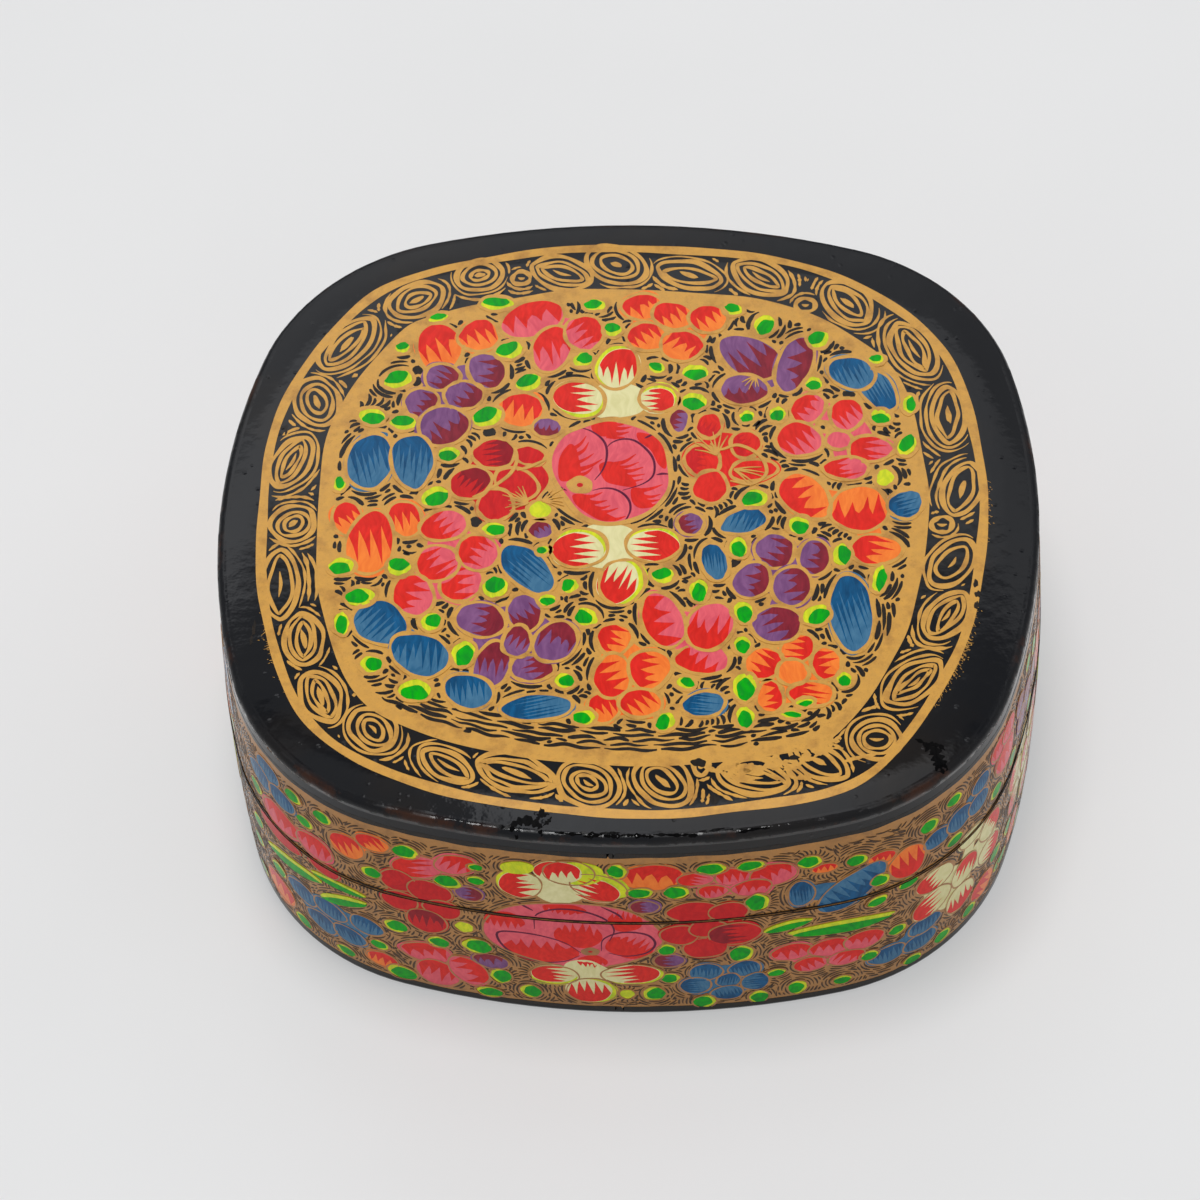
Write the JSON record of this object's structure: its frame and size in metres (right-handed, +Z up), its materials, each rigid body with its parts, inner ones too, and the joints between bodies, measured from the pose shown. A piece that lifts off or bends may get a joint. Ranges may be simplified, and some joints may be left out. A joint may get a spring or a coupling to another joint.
{
  "type": "papier mache box",
  "caption": "Cushion-shaped lacquered papier mache trinket box; the lid lifts straight off a collar that stands up inside the base.",
  "frame": {"origin": "middle of the underside, on the surface that the box stands on", "axes": "+Z up, the way the lid lifts; +X along the wider side, to the right seen from the front; the front faces -Y"},
  "size_m": [0.1152, 0.1082, 0.0445],
  "materials": {
    "black_lacquer": "gloss",
    "gold_ground": "gloss",
    "inner_lacquer": "satin",
    "paper_pulp": "matte",
    "gold_paint": "gloss",
    "flower_paint": "gloss",
    "leaf_paint": "gloss"
  },
  "bodies": {
    "base": {"base_foot_skin": "black_lacquer", "base_floor_board": "paper_pulp", "base_wall": "paper_pulp", "base_wall_skin": "gold_ground", "locating_collar": "inner_lacquer", "base_lining": "inner_lacquer"},
    "lid": {"lid_top_skin": "black_lacquer", "lid_top_board": "paper_pulp", "lid_wall": "paper_pulp", "lid_wall_skin": "gold_ground", "lid_lining": "inner_lacquer"}
  },
  "joints": [
    {"name": "lid_lift", "type": "slide", "parent": "base", "child": "lid", "axis": [0, 0, 1], "range_m": [0, 0.08]}
  ]
}
